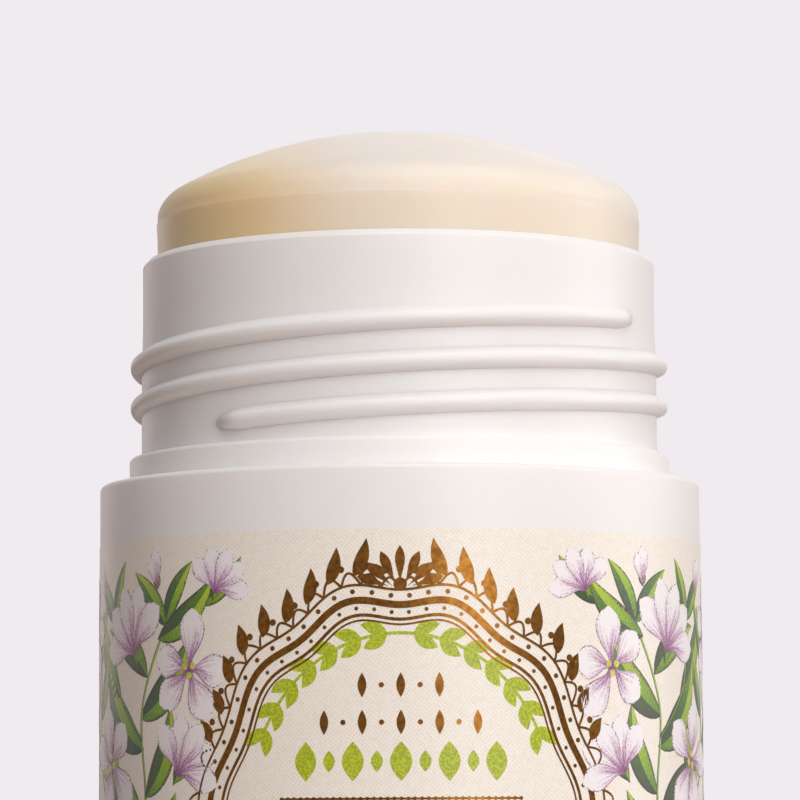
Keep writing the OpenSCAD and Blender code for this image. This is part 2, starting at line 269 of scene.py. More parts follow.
def label_film():
    """Satin polypropylene film printed cream: a fine screen of ochre dots, warm from a step away."""
    made, tree, shader = printed("printed_cream_film")
    flat = unrolled(tree)
    screen = add(tree, "ShaderNodeMapping", {"Vector": flat, "Rotation": (0, 0, math.radians(38))})
    dots = add(tree, "ShaderNodeTexVoronoi", {"Vector": screen.outputs["Vector"], "Scale": 1 / (0.2 * MM),
                                              "Randomness": 0.25}, voronoi_dimensions="2D")
    cloud = add(tree, "ShaderNodeTexNoise", {"Vector": flat, "Scale": 1 / (0.5 * MM), "Detail": 3.0})
    shake = add(tree, "ShaderNodeMath", {0: cloud.outputs["Fac"], 1: 0.5, 2: dots.outputs["Distance"]},
                operation="MULTIPLY_ADD")
    tone = add(tree, "ShaderNodeValToRGB", {"Fac": shake.outputs[0]},
               [(0.42, "F1E4CE"), (0.58, "F9F2E7"), (0.8, "FBF8F1")])
    tree.links.new(tone.outputs["Color"], shader.inputs["Base Color"])
    return made


def copper_foil():
    """Hot-stamped copper foil: metal, dark brown where it mirrors no light, and gold where it does."""
    made, tree, shader = new_material("hot_stamped_copper_foil", Metallic=1.0, Roughness=0.3)
    place = add(tree, "ShaderNodeTexCoord").outputs["Object"]
    grain = add(tree, "ShaderNodeTexNoise", {"Vector": place, "Scale": 1 / (0.3 * MM), "Detail": 2.0})
    tone = add(tree, "ShaderNodeValToRGB", {"Fac": grain.outputs["Fac"]},
               [(0.35, "5E3C1A"), (0.65, "7A5222")])
    tree.links.new(tone.outputs["Color"], shader.inputs["Base Color"])
    return made


def along_and_across(tree):
    """On a printed shape: how far along it and how far from its middle line, both 0 to 1, and which side."""
    uv = add(tree, "ShaderNodeUVMap", uv_map="shape")
    parts = add(tree, "ShaderNodeSeparateXYZ", {"Vector": uv.outputs["UV"]})
    centred = add(tree, "ShaderNodeMath", {0: parts.outputs["Y"], 1: 0.5}, operation="SUBTRACT")
    half = add(tree, "ShaderNodeMath", {0: centred.outputs[0]}, operation="ABSOLUTE")
    across = add(tree, "ShaderNodeMath", {0: half.outputs[0], 1: 2.0}, operation="MULTIPLY")
    return parts.outputs["X"], across.outputs[0], centred.outputs[0]


def screened(tree, value, place, spread):
    """A value on a printed shape, shaken by a fine grain, as a coarse print screen breaks up an edge."""
    grain = add(tree, "ShaderNodeTexNoise", {"Vector": place, "Scale": 1 / (0.12 * MM), "Detail": 1.0})
    shift = add(tree, "ShaderNodeMath", {0: grain.outputs["Fac"], 1: 0.5}, operation="SUBTRACT")
    return add(tree, "ShaderNodeMath", {0: shift.outputs[0], 1: spread, 2: value},
               operation="MULTIPLY_ADD").outputs[0]


def leaf_ink():
    """Printed leaf: one half lit, one half in shade, and a dark line round it."""
    made, tree, shader = printed("printed_leaf_green")
    place = add(tree, "ShaderNodeTexCoord").outputs["Object"]
    along, across, side = along_and_across(tree)
    grained = screened(tree, along, place, 0.9)
    lit = add(tree, "ShaderNodeValToRGB", {"Fac": grained},
              [(0.0, "4E7A22"), (0.45, "90B426"), (0.9, "BCCC42")])
    shade = add(tree, "ShaderNodeValToRGB", {"Fac": grained},
                [(0.0, "33342A"), (0.5, "40602A"), (1.0, "6E9434")])
    which = add(tree, "ShaderNodeMath", {0: side, 1: 0.0}, operation="GREATER_THAN")
    halves = add(tree, "ShaderNodeMix", {FACTOR: which.outputs[0], COLOUR_A: lit.outputs["Color"],
                                         COLOUR_B: shade.outputs["Color"]}, data_type="RGBA")
    edge = add(tree, "ShaderNodeValToRGB", {"Fac": screened(tree, across, place, 0.9)},
               [(0.78, "000000"), (0.94, "FFFFFF")])
    rimmed = add(tree, "ShaderNodeMix", {FACTOR: edge.outputs["Color"], COLOUR_A: halves.outputs[MIXED],
                                         COLOUR_B: colour("3C2E2A")}, data_type="RGBA")
    tree.links.new(rimmed.outputs[MIXED], shader.inputs["Base Color"])
    return made


def petal_ink():
    """Printed petal: white towards its tip, plum veins towards the flower's heart, a thin dotted edge."""
    made, tree, shader = printed("printed_petal_lilac")
    place = add(tree, "ShaderNodeTexCoord").outputs["Object"]
    along, across, _ = along_and_across(tree)
    uv = add(tree, "ShaderNodeUVMap", uv_map="shape")
    drawn_out = add(tree, "ShaderNodeMapping", {"Vector": uv.outputs["UV"], "Scale": (1.2, 11.0, 1.0)})
    veins = add(tree, "ShaderNodeTexNoise", {"Vector": drawn_out.outputs["Vector"], "Scale": 1.0,
                                             "Detail": 1.0})
    shift = add(tree, "ShaderNodeMath", {0: veins.outputs["Fac"], 1: 0.5}, operation="SUBTRACT")
    veined = add(tree, "ShaderNodeMath", {0: shift.outputs[0], 1: 1.3, 2: along}, operation="MULTIPLY_ADD")
    body = add(tree, "ShaderNodeValToRGB", {"Fac": screened(tree, veined.outputs[0], place, 0.5)},
               [(0.05, "7C3F74"), (0.24, "B381A8"), (0.42, "E2CCDC"), (0.6, "F9F5F7")])
    edge = add(tree, "ShaderNodeValToRGB", {"Fac": screened(tree, across, place, 0.9)},
               [(0.92, "000000"), (1.0, "FFFFFF")])
    rimmed = add(tree, "ShaderNodeMix", {FACTOR: edge.outputs["Color"], COLOUR_A: body.outputs["Color"],
                                         COLOUR_B: colour("86637E")}, data_type="RGBA")
    tree.links.new(rimmed.outputs[MIXED], shader.inputs["Base Color"])
    return made


def plain_ink(name, dark, light):
    """One ink, a little uneven where the screen shows through."""
    made, tree, shader = printed(name)
    place = add(tree, "ShaderNodeTexCoord").outputs["Object"]
    grain = add(tree, "ShaderNodeTexNoise", {"Vector": place, "Scale": 1 / (0.14 * MM), "Detail": 1.0})
    tone = add(tree, "ShaderNodeValToRGB", {"Fac": grain.outputs["Fac"]}, [(0.42, dark), (0.58, light)])
    tree.links.new(tone.outputs["Color"], shader.inputs["Base Color"])
    return made


WHITE = moulded_polypropylene()
NATURAL = natural_polypropylene()
WAX = cast_wax()
FILM = label_film()
FOIL = copper_foil()
LEAF = leaf_ink()
PETAL = petal_ink()
# Lime ink of the garland and the lozenges, and yellow ink of the flowers' hearts.
LIME = plain_ink("printed_lime_green", "98AC14", "C0CA30")
HEART = plain_ink("printed_heart_yellow", "B9C23A", "E3DE6A")


# Mesh helpers

# Points closer than this, in millimetres, are one point.
SAME_POINT = 0.0005


def finish_piece(bm, name, material, body, replaced=(), sharp=35.0, merge=SAME_POINT):
    """Turns a bmesh in millimetres into a piece in metres that rides on a body."""
    if merge:
        bmesh.ops.remove_doubles(bm, verts=bm.verts[:], dist=merge)
    bmesh.ops.scale(bm, vec=(MM, MM, MM), verts=bm.verts[:])
    mesh = bpy.data.meshes.new(name)
    bm.to_mesh(mesh)
    bm.free()
    mesh.polygons.foreach_set("use_smooth", [True] * len(mesh.polygons))
    mesh.set_sharp_from_angle(angle=math.radians(sharp))
    mesh.materials.append(material)
    piece = bpy.data.objects.new(name, mesh)
    bpy.context.scene.collection.objects.link(piece)
    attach(piece, body)
    if replaced:
        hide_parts(*replaced)


def arc(x, y, r, start, end, count=8):
    """Points of an arc about (x, y), with angles in degrees."""
    angles = [math.radians(start + (end - start) * i / count) for i in range(count + 1)]
    return [(x + r * math.cos(a), y + r * math.sin(a)) for a in angles]


def revolve(bm, outline, steps=240, closed=True):
    """Spins an outline of (radius, height) points round the Z axis."""
    verts = [bm.verts.new((r, 0, z)) for r, z in outline]
    pairs = list(zip(verts, verts[1:]))
    if closed:
        pairs.append((verts[-1], verts[0]))
    edges = [bm.edges.new(pair) for pair in pairs]
    bmesh.ops.spin(bm, geom=verts + edges, cent=(0, 0, 0), axis=(0, 0, 1), dvec=(0, 0, 0), angle=TURN,
                   steps=steps, use_merge=True, use_duplicate=False)
    bmesh.ops.remove_doubles(bm, verts=bm.verts[:], dist=SAME_POINT)
    bmesh.ops.recalc_face_normals(bm, faces=bm.faces[:])


def mapped_grid(bm, along, across, place):
    """A grid whose points go where place(s, t) says, for s and t from 0 to 1. Its UV keeps s and t."""
    layer = bm.loops.layers.uv.get("shape") or bm.loops.layers.uv.new("shape")
    made = bmesh.ops.create_grid(bm, x_segments=along, y_segments=across, size=0.5)["verts"]
    for face in {f for v in made for f in v.link_faces}:
        for loop in face.loops:
            loop[layer].uv = (loop.vert.co.x + 0.5, loop.vert.co.y + 0.5)
    for v in made:
        v.co = place(v.co.x + 0.5, v.co.y + 0.5)
    return made


def round_grid(bm, along, across, place):
    """A mapped grid that closes on itself across, with both ends filled."""
    made = mapped_grid(bm, along, across, place)
    bmesh.ops.remove_doubles(bm, verts=made, dist=SAME_POINT)
    rims = [e for e in bm.edges if e.is_boundary]
    bmesh.ops.holes_fill(bm, edges=rims, sides=0)
    bmesh.ops.recalc_face_normals(bm, faces=bm.faces[:])


def polar(r, angle, z):
    """The point at radius r, angle and height z."""
    return Vector((r * math.cos(angle), r * math.sin(angle), z))


def to_radius(v, r):
    """Moves a vertex straight in or out, to lie r from the pack's axis."""
    share = r / math.hypot(v.co.x, v.co.y)
    v.co.x *= share
    v.co.y *= share


def rib(bm, inner, outer, width, low, high, turn):
    """A straight rib from radius inner to outer and from height low to high, turned about the pack's axis."""
    made = bmesh.ops.create_cube(bm, size=1.0)["verts"]
    bmesh.ops.scale(bm, vec=(outer - inner, width, high - low), verts=made)
    bmesh.ops.translate(bm, vec=((inner + outer) / 2, 0, (low + high) / 2), verts=made)
    bmesh.ops.rotate(bm, cent=(0, 0, 0), matrix=Euler((0, 0, turn)).to_matrix(), verts=made)


# White plastic

def shell_of_sleeve():
    """The outer sleeve, with the step that seats the collar and the fins that centre the barrel."""
    inner = BODY_R - SLEEVE_WALL
    foot_round = 0.3
    seat_z = SHOULDER_Z - SEAT_STEP
    under_shoulder = SHOULDER_Z - SHOULDER_T
    outline = [(inner, SLEEVE_Z)]
    outline += arc(BODY_R - foot_round, SLEEVE_Z + foot_round, foot_round, -90, 0, 5)
    outline += arc(BODY_R - SHOULDER_ROUND, SHOULDER_Z - SHOULDER_ROUND, SHOULDER_ROUND, 0, 90, 10)
    outline += [(COLLAR_R + NEST, SHOULDER_Z), (COLLAR_R + NEST, seat_z), (NECK_R + NEST, seat_z)]
    outline += [(NECK_R + NEST, under_shoulder), (inner, under_shoulder)]
    bm = bmesh.new()
    revolve(bm, outline)
    # The fins clear the barrel by as much as they reach into the sleeve's wall.
    fins = 8
    fin_width = 1.0
    fin_gap = 0.15
    fin_foot = SLEEVE_Z + 2
    fin_top = under_shoulder + 0.2
    for i in range(fins):
        rib(bm, NECK_R + fin_gap, inner + fin_gap, fin_width, fin_foot, fin_top, TURN * (i + 0.5) / fins)
    finish_piece(bm, "sleeve_shell", WHITE, "barrel", ["outer_sleeve"])


# Depth of the ridges' foot under the neck's face.
BURIED = -0.3


def ridge_section():
    """Height and axial offset round a ridge: a steep lower flank that meets the neck sharply, a round crest,
    and a sloping upper flank with a small fillet at its foot."""
    w, h = RIDGE_W, RIDGE_H
    lower = [(BURIED, -0.53 * w), (-0.03, -0.5 * w), (0.05 * h, -0.475 * w), (0.25 * h, -0.45 * w),
             (0.5 * h, -0.41 * w), (0.72 * h, -0.35 * w), (0.88 * h, -0.265 * w), (0.97 * h, -0.16 * w),
             (h, -0.05 * w)]
    upper = [(h, 0.04 * w), (0.96 * h, 0.13 * w), (0.86 * h, 0.215 * w), (0.68 * h, 0.295 * w),
             (0.4 * h, 0.385 * w), (0.14 * h, 0.47 * w), (0.03 * h, 0.52 * w), (-0.03, 0.57 * w),
             (BURIED, 0.6 * w)]
    return lower + upper


def neck_thread(bm):
    """Two helical ridges that rise out of the neck at one end and sink into it at the other."""
    section = ridge_section()
    count = len(section)
    lead = THREAD_PITCH * THREAD_STARTS
    length = THREAD_TURNS * TURN
    base = SHOULDER_Z + THREAD_Z - lead * THREAD_LEAD_IN / TURN
    # Over run_in at each end a ridge narrows, and its crest goes down to sunk under the neck's face.
    run_in = math.radians(9)
    sunk = 0.12
    for start in range(THREAD_STARTS):
        first = FRONT - THREAD_LEAD_IN + TURN * start / THREAD_STARTS

        def place(s, t, first=first):
            turned = s * length
            risen = max(0.0, min(1.0, turned / run_in, (length - turned) / run_in))
            grow = math.sin(0.5 * math.pi * risen) ** 1.6
            height, offset = section[round(t * count) % count]
            lift = (height + sunk) * grow - sunk if height > BURIED else height
            width = 0.5 + 0.5 * grow
            return polar(NECK_R + lift, first + turned, base + lead * turned / TURN + offset * width)

        round_grid(bm, 300, count, place)


def mould_line(bm):
    """A hair-fine groove down both sides of the neck and collar, where the halves of the mould met."""
    turn = math.pi + math.radians(5)
    half = 0.05 / NECK_R
    depth = 0.07
    outer_face = NECK_R - LAND_H - 0.3
    for angle in (turn - half, turn, turn + half):
        across = Vector((-math.sin(angle), math.cos(angle), 0))
        cut = bmesh.ops.bisect_plane(bm, geom=bm.verts[:] + bm.edges[:] + bm.faces[:], dist=0.0001,
                                     plane_co=(0, 0, 0), plane_no=across)
        if angle == turn:
            groove = [v for v in cut["geom_cut"] if isinstance(v, bmesh.types.BMVert)]
    for v in groove:
        r = math.hypot(v.co.x, v.co.y)
        if r > outer_face and v.co.z > SHOULDER_Z:
            to_radius(v, r - depth)


def threaded_barrel():
    """The inner barrel: neck, thread, collar, bore, floor and the skirt in the knob."""
    collar_top = SHOULDER_Z + COLLAR_H
    land = NECK_R - LAND_H
    land_foot, land_top = SHOULDER_Z + 7.2, SHOULDER_Z + 10.6
    floor_top = SLEEVE_Z + FLOOR_T
    seat_z = SHOULDER_Z - SEAT_STEP
    fillet = 0.12
    lip_in = 0.42
    bore_edge = 0.15
    outline = [(BORE_R, SKIRT_Z), (NECK_R, SKIRT_Z), (NECK_R, seat_z)]
    outline += [(SPIGOT_R, seat_z), (SPIGOT_R, SHOULDER_Z), (COLLAR_R, SHOULDER_Z)]
    outline += arc(COLLAR_R - COLLAR_ROUND, collar_top - COLLAR_ROUND, COLLAR_ROUND, 0, 90)
    outline += arc(NECK_R + fillet, collar_top + fillet, fillet, 270, 180, 4)
    outline += [(NECK_R, land_foot), (land, land_top)]
    outline += arc(land - fillet, RIM_Z - LIP_ROUND, fillet, 0, 40, 4)
    outline += arc(land - lip_in, RIM_Z - fillet, fillet, 40, 90, 4)
    outline += arc(BORE_R + bore_edge, RIM_Z - bore_edge, bore_edge, 90, 180, 4)
    outline += [(BORE_R, floor_top), (BEARING_R, floor_top), (BEARING_R, SLEEVE_Z), (BORE_R, SLEEVE_Z)]
    bm = bmesh.new()
    revolve(bm, outline, 320)
    neck_thread(bm)
    mould_line(bm)
    rib_top = RIM_Z - GUIDE_DROP
    root = 0.4
    for i in range(GUIDE_COUNT):
        turn = FRONT + math.pi + TURN * i / GUIDE_COUNT
        rib(bm, BORE_R - GUIDE_H, BORE_R + root, GUIDE_W, floor_top, rib_top, turn)
    finish_piece(bm, "threaded_barrel", WHITE, "barrel", ["inner_barrel"], sharp=40)


# Wax

def wax_stick():
    """The cast stick: dome, fillet, the fine line where the head's mould met the barrel, and its bore."""
    side = STICK_R - HEAD_BEAD
    slot_top = RIM_Z - GUIDE_DROP + RAISED + GUIDE_GAP
    slot_end = 0.02
    nut_top = STICK_FOOT + NUT_RISE
    bore_top = RIM_Z - TIP_DROP + RAISED + WAX_BORE_PLAY
    outline = [(0, bore_top), (WAX_BORE_R, bore_top), (WAX_BORE_R, nut_top), (NUT_R, nut_top)]
    outline += [(NUT_R, STICK_FOOT), (side, STICK_FOOT), (side, slot_top), (side, slot_top + slot_end)]
    # The side flares out to the line's edge, and a step that faces up leads in to the fillet.
    flare_foot, edge_foot = DOME_LINE - 1.3, DOME_LINE - 0.07
    edge_top, step_top = DOME_LINE - 0.01, DOME_LINE + 0.05
    outline += [(side, flare_foot), (STICK_R, edge_foot), (STICK_R, edge_top), (side, step_top)]
    turn = math.degrees(math.atan2(DOME_FILLET_Z - DOME_CENTRE, DOME_FILLET_R))
    fillet = arc(DOME_FILLET_R, DOME_FILLET_Z, DOME_ROUND, 0, turn, 14)
    points_in_step = 3
    outline += fillet[points_in_step:]
    outline += arc(0, DOME_CENTRE, DOME_R, turn, 90, 40)[1:]
    bm = bmesh.new()
    revolve(bm, outline, 288, closed=False)
    slot_r = BORE_R - GUIDE_H - GUIDE_GAP
    reach = (GUIDE_W / 2 + GUIDE_GAP) / slot_r
    step = TURN / GUIDE_COUNT
    for v in bm.verts:
        if math.hypot(v.co.x, v.co.y) > slot_r and v.co.z < slot_top + slot_end / 2:
            angle = math.atan2(v.co.y, v.co.x)
            off = (angle - FRONT - math.pi + step / 2) % step - step / 2
            if abs(off) < reach:
                to_radius(v, slot_r)
    finish_piece(bm, "wax_stick", WAX, "carrier", ["product_stick"], sharp=50)


# Label

def wrapped(u, z, height):
    """A point of the label, u to the right of its front middle, height over its face."""
    angle = FRONT + u / LABEL_R
    return polar(LABEL_R + height, angle, z)


def wrap_film():
    """The label's film, with its end lapping over its start at the back."""
    round_trip = TURN * LABEL_R
    lap = 6.0
    lap_step = 1.2
    lap_height = 1.05 * LABEL_T
    lap_start = round_trip / 2 - lap / 2

    def place(s, t):
        u = -round_trip / 2 - lap / 2 + s * (round_trip + lap)
        over = max(0.0, min(1.0, (u - (lap_start - lap_step)) / lap_step))
        return wrapped(u, LABEL_FOOT + t * (LABEL_TOP - LABEL_FOOT), lap_height * over)

    bm = bmesh.new()
    mapped_grid(bm, 288, 12, place)
    bmesh.ops.recalc_face_normals(bm, faces=bm.faces[:])
    probe = max(bm.faces, key=lambda f: f.calc_center_median().x)
    if probe.normal.x < 0:
        bmesh.ops.reverse_faces(bm, faces=bm.faces[:])
    bmesh.ops.solidify(bm, geom=bm.faces[:], thickness=LABEL_T)
    finish_piece(bm, "label_film", FILM, "barrel", ["wrap_label"], merge=0)


class Print:
    """Shapes printed with one ink, drawn flat in label coordinates and wrapped round the pack."""

    # Shapes that cross take turns at these heights, so that none lies in another's face.
    LAYERS = 6
    LAYER_STEP = 0.0015
    THICKNESS = 0.01

    def __init__(self, height):
        self.bm = bmesh.new()
        self.height = height
        self.drawn = 0

    def shape(self, path, width, along, across):
        """A band along path(s), which gives (u, z), as wide as width(s), of along by across faces."""
        self.drawn += 1
        height = self.height + self.LAYER_STEP * (self.drawn % self.LAYERS)
        tiny = 0.002

        def place(s, t):
            u, z = path(s)
            u0, z0 = path(max(0.0, s - tiny))
            u1, z1 = path(min(1.0, s + tiny))
            length = math.hypot(u1 - u0, z1 - z0) or 1.0
            half = width(s) * (t - 0.5)
            return wrapped(u - half * (z1 - z0) / length, z + half * (u1 - u0) / length, height)

        mapped_grid(self.bm, along, across, place)

    def disc(self, u, z, r, sides):
        """A filled round dot."""
        made = bmesh.ops.create_circle(self.bm, cap_ends=True, radius=r, segments=sides)["verts"]
        for v in made:
            v.co = wrapped(u + v.co.x, z + v.co.y, self.height)

    def finish(self, name, material):
        """Turns the shapes outwards, gives them the ink's thickness and makes them a piece."""
        for face in self.bm.faces:
            face.normal_update()
            middle = face.calc_center_median()
            if face.normal.dot(Vector((middle.x, middle.y, 0))) < 0:
                face.normal_flip()
        bmesh.ops.solidify(self.bm, geom=self.bm.faces[:], thickness=self.THICKNESS)
        finish_piece(self.bm, name, material, "barrel", merge=0)


def leaf_width(widest, where=0.42):
    """Width of a lance-shaped leaf along its length."""
    power = math.log(0.5) / math.log(where)

    def width(s):
        return widest * max(0.03, math.sin(math.pi * s ** power)) ** 0.9
    return width


def petal_width(widest):
    """Width of a petal: a narrow claw that opens into a long rounded blade."""
    def width(s):
        blade = math.sin(math.pi * min(1.0, max(0.0, (s - 0.1) / 0.9)) ** 1.5)
        return widest * max(0.2 if s < 0.5 else 0.05, max(0.0, blade) ** 0.7)
    return width


def curved(u, z, angle, length, bend=0.0):
    """A path from (u, z) towards angle that turns by bend radians on its way."""
    def path(s):
        turned = bend * s
        if abs(bend) < 1e-6:
            along, side = length * s, 0.0
        else:
            along = length * math.sin(turned) / bend
            side = length * (1 - math.cos(turned)) / bend
        return (u + along * math.cos(angle) - side * math.sin(angle),
                z + along * math.sin(angle) + side * math.cos(angle))
    return path


# Each ink by its height over the film: what crosses another ink lies higher.
foil = Print(0.016)
leaves = Print(0.006)
petals = Print(0.016)
lime = Print(0.008)
hearts = Print(0.03)

# The frame: a tall lobed oval of foil round the bare middle of the label.
FRAME_Z = 33.1
FRAME_A = 12.9
FRAME_B = 16.4
LOBES = 12
LOBE_DEPTH = 0.022


def frame_point(turn, out):
    """A point of the frame at angle turn from the right, moved outward by out."""
    lobe = 1 - LOBE_DEPTH * math.cos(LOBES * turn)
    return (FRAME_A + out) * lobe * math.cos(turn), FRAME_Z + (FRAME_B + out) * lobe * math.sin(turn)


def closed_line(out, width):
    """A foil line all round the frame."""
    foil.shape(lambda s: frame_point(TURN * s, out), lambda s: width, 220, 2)


def draw_frame():
    """Two fine inner lines, a bold line, a row of scallops with beads, and a laurel over the shoulders."""
    closed_line(-1.25, 0.12)
    closed_line(-0.92, 0.2)
    closed_line(0.0, 0.44)
    scallop_foot, scallop_rise = 0.95, 0.75
    closed_line(scallop_foot, 0.16)
    scallops = 72
    for i in range(scallops):
        turn = TURN * (i + 0.5) / scallops
        foil.disc(*frame_point(turn, -0.5), 0.13, 8)
        foil.disc(*frame_point(turn, 0.55), 0.16, 8)

        def scallop(s, i=i):
            return frame_point(TURN * (i + s) / scallops, scallop_foot + scallop_rise * math.sin(math.pi * s))
        foil.shape(scallop, lambda s: 0.15, 8, 1)
    leaves_a_side = 9
    first_turn, turn_step = 0.2, 0.115
    berry_turn = 0.045
    for side in (-1, 1):
        for i in range(leaves_a_side):
            turn = math.pi / 2 - side * (first_turn + turn_step * i)
            u, z = frame_point(turn, 1.5)
            outward = math.atan2(z - FRAME_Z, u)
            length = 2.5 - 0.11 * i
            foil.shape(curved(u, z, outward + side * 0.75, length, -side * 0.5), leaf_width(0.85), 10, 4)
            foil.disc(*frame_point(turn - side * berry_turn, 2.0), 0.22, 10)


def draw_crest():
    """A fan of drops over the middle of the frame, between two scrolls."""
    u, z = frame_point(math.pi / 2, 1.2)
    for place in range(-3, 4):
        lean = 0.42 * place
        length = 2.5 - 0.16 * abs(place)
        foil.shape(curved(u + 0.25 * place, z, math.pi / 2 - lean, length), leaf_width(0.62, 0.68), 10, 4)
    foil.disc(u, z + 0.1, 0.42, 16)
    scroll_u, scroll_z = 1.9, z + 0.55
    for side in (-1, 1):
        def scroll(s, side=side):
            turn = 0.2 + 4.6 * s
            r = 0.95 - 0.7 * s
            return side * (scroll_u - r * math.cos(turn)), scroll_z + 0.9 * r * math.sin(turn)
        foil.shape(scroll, lambda s: 0.34 - 0.14 * s, 28, 2)


def blossom(u, z, r, turn):
    """An open flower of separate petals, no two alike, with a small heart of three dots."""
    petal_count = 5
    for i in range(petal_count):
        angle = turn + TURN * i / petal_count + 0.12 * math.sin(5.1 * i + 3 * turn)
        length = r * (1 - 0.22 * (0.5 + 0.5 * math.sin(2.7 * i + 5 * turn)))
        petals.shape(curved(u, z, angle, length, 0.3 * math.cos(3.3 * i)), petal_width(0.56 * r), 12, 6)
    for i in range(3):
        angle = turn + TURN * i / 3
        hearts.disc(u + 0.1 * r * math.cos(angle), z + 0.1 * r * math.sin(angle), 0.06 * r, 8)


def side_blossom(u, z, r, angle):
    """A flower seen from its side: a fan of petals that rise from a green cup."""
    for i, lean in enumerate((-0.95, 0.95, -0.42, 0.46, 0.02)):
        length = r * (1.0 - 0.1 * abs(lean) + 0.06 * (i % 2))
        petals.shape(curved(u, z, angle + lean, length, 0.45 * lean), petal_width(0.46 * r), 12, 6)
    leaves.shape(curved(u - 0.22 * r * math.cos(angle), z - 0.22 * r * math.sin(angle), angle, 0.5 * r),
                 leaf_width(0.3 * r, 0.6), 8, 3)


def bud(u, z, r, angle):
    """A closed flower on its calyx."""
    petals.shape(curved(u, z, angle, r, 0.15), petal_width(0.44 * r), 10, 5)
    petals.shape(curved(u, z, angle + 0.3, 0.85 * r, 0.15), petal_width(0.36 * r), 8, 5)
    leaves.shape(curved(u, z, angle + 0.12, 0.5 * r), leaf_width(0.3 * r), 6, 3)


def leaf(u, z, angle, length, bend):
    """A slim leaf from (u, z) towards angle."""
    leaves.shape(curved(u, z, angle, length, bend), leaf_width(0.3 * length), 14, 4)


def stem(points):
    """A thin stem that runs smoothly through the points."""
    count = len(points) - 1

    def path(s):
        place = s * count
        i = min(int(place), count - 1)
        f = place - i
        p = [points[max(0, min(count, i + k))] for k in (-1, 0, 1, 2)]
        return tuple(0.5 * ((2 * p[1][k]) + (p[2][k] - p[0][k]) * f
                            + (2 * p[0][k] - 5 * p[1][k] + 4 * p[2][k] - p[3][k]) * f * f
                            + (3 * p[1][k] - p[0][k] - 3 * p[2][k] + p[3][k]) * f ** 3) for k in (0, 1))
    leaves.shape(path, lambda s: 0.22, 12 * count, 2)


def aimed(side, angle):
    """An angle drawn for the right side, mirrored for the left."""
    return angle if side > 0 else math.pi - angle


def draw_spray(side):
    """One tall spray beside the frame. side is 1 to the right and -1 to the left."""
    for points in ([(16.0, 18), (18.4, 25), (20.0, 31), (19.0, 37), (19.4, 43), (16.6, 48.6)],
                   [(20.0, 33), (24.4, 36), (27.2, 40), (27.4, 46)],
                   [(18.6, 26), (24.5, 28.4), (28.5, 28), (32.0, 30.4)],
                   [(19.4, 41), (23.0, 44.6), (23.6, 49)]):
        stem([(side * u, z) for u, z in points])
    # Foot, direction, length and bend of each leaf.
    leaf_places = [
        (16.6, 20.5, 0.2, 8.0, 0.7), (17.4, 22.4, 2.5, 5.0, -0.5), (19.0, 27.4, 2.5, 5.4, -0.5),
        (20.0, 30.0, 0.3, 8.4, 0.8), (19.6, 33.4, 2.6, 5.8, -0.6), (19.4, 35.4, 0.9, 8.6, -0.9),
        (19.0, 37.4, 2.5, 6.6, -1.0), (19.2, 40.4, 0.3, 8.6, 1.0), (19.6, 42.4, 2.8, 7.6, -0.9),
        (18.8, 45.0, 0.9, 7.0, -0.8), (17.6, 47.4, 2.9, 6.4, -0.8), (16.8, 48.4, 1.9, 4.6, 0.5),
        (16.8, 48.2, 1.0, 5.0, -0.4), (22.4, 43.9, 0.5, 7.4, 0.9), (23.2, 46.6, 2.2, 4.6, -0.4),
        (23.6, 48.4, 1.8, 4.6, 0.4), (23.6, 48.6, 0.9, 5.0, -0.3), (25.0, 36.6, 2.1, 5.8, -0.4),
        (27.0, 39.6, 0.4, 7.4, 0.9), (27.3, 42.4, 2.2, 5.2, -0.3), (27.4, 46.0, 1.9, 4.6, 0.3),
        (27.4, 46.0, 1.0, 5.4, 0.3), (24.6, 28.4, 0.9, 6.0, 0.4), (28.4, 28.0, -0.5, 7.0, 0.6),
        (31.6, 30.2, 0.9, 5.6, 0.2), (31.6, 30.0, 0.2, 5.0, 0.4), (18.0, 24.0, -0.3, 7.2, 0.7),
        (13.6, 49.4, 2.7, 4.4, -0.6),
    ]
    for u, z, angle, length, bend in leaf_places:
        leaf(side * u, z, aimed(side, angle), length, side * bend)
    # Where each flower stands and how large it is, with the way it faces.
    blossoms = [(14.6, 45.4, 3.9, 0.5), (24.2, 39.6, 4.4, 1.3), (18.4, 32.2, 3.8, 1.1),
                (30.4, 35.6, 4.2, 0.7), (22.6, 23.8, 4.2, 0.2), (29.6, 48.2, 3.8, 0.4),
                (31.0, 24.0, 3.8, 0.8)]
    side_blossoms = [(20.4, 46.6, 4.6, 1.2), (15.6, 38.8, 3.8, 2.2), (24.6, 31.6, 4.4, 1.0),
                     (30.2, 41.8, 4.2, 0.9), (34.6, 29.4, 4.0, 0.8), (12.4, 50.2, 2.9, 2.0),
                     (34.6, 46.4, 3.8, 1.2)]
    buds = [(17.6, 50.6, 2.6, 1.5), (25.6, 50.4, 2.8, 1.0), (36.2, 40.0, 3.0, 0.9), (16.6, 28.6, 2.6, 2.0)]
    for draw, places in ((blossom, blossoms), (side_blossom, side_blossoms), (bud, buds)):
        for u, z, r, angle in places:
            draw(side * u, z, r, aimed(side, angle))


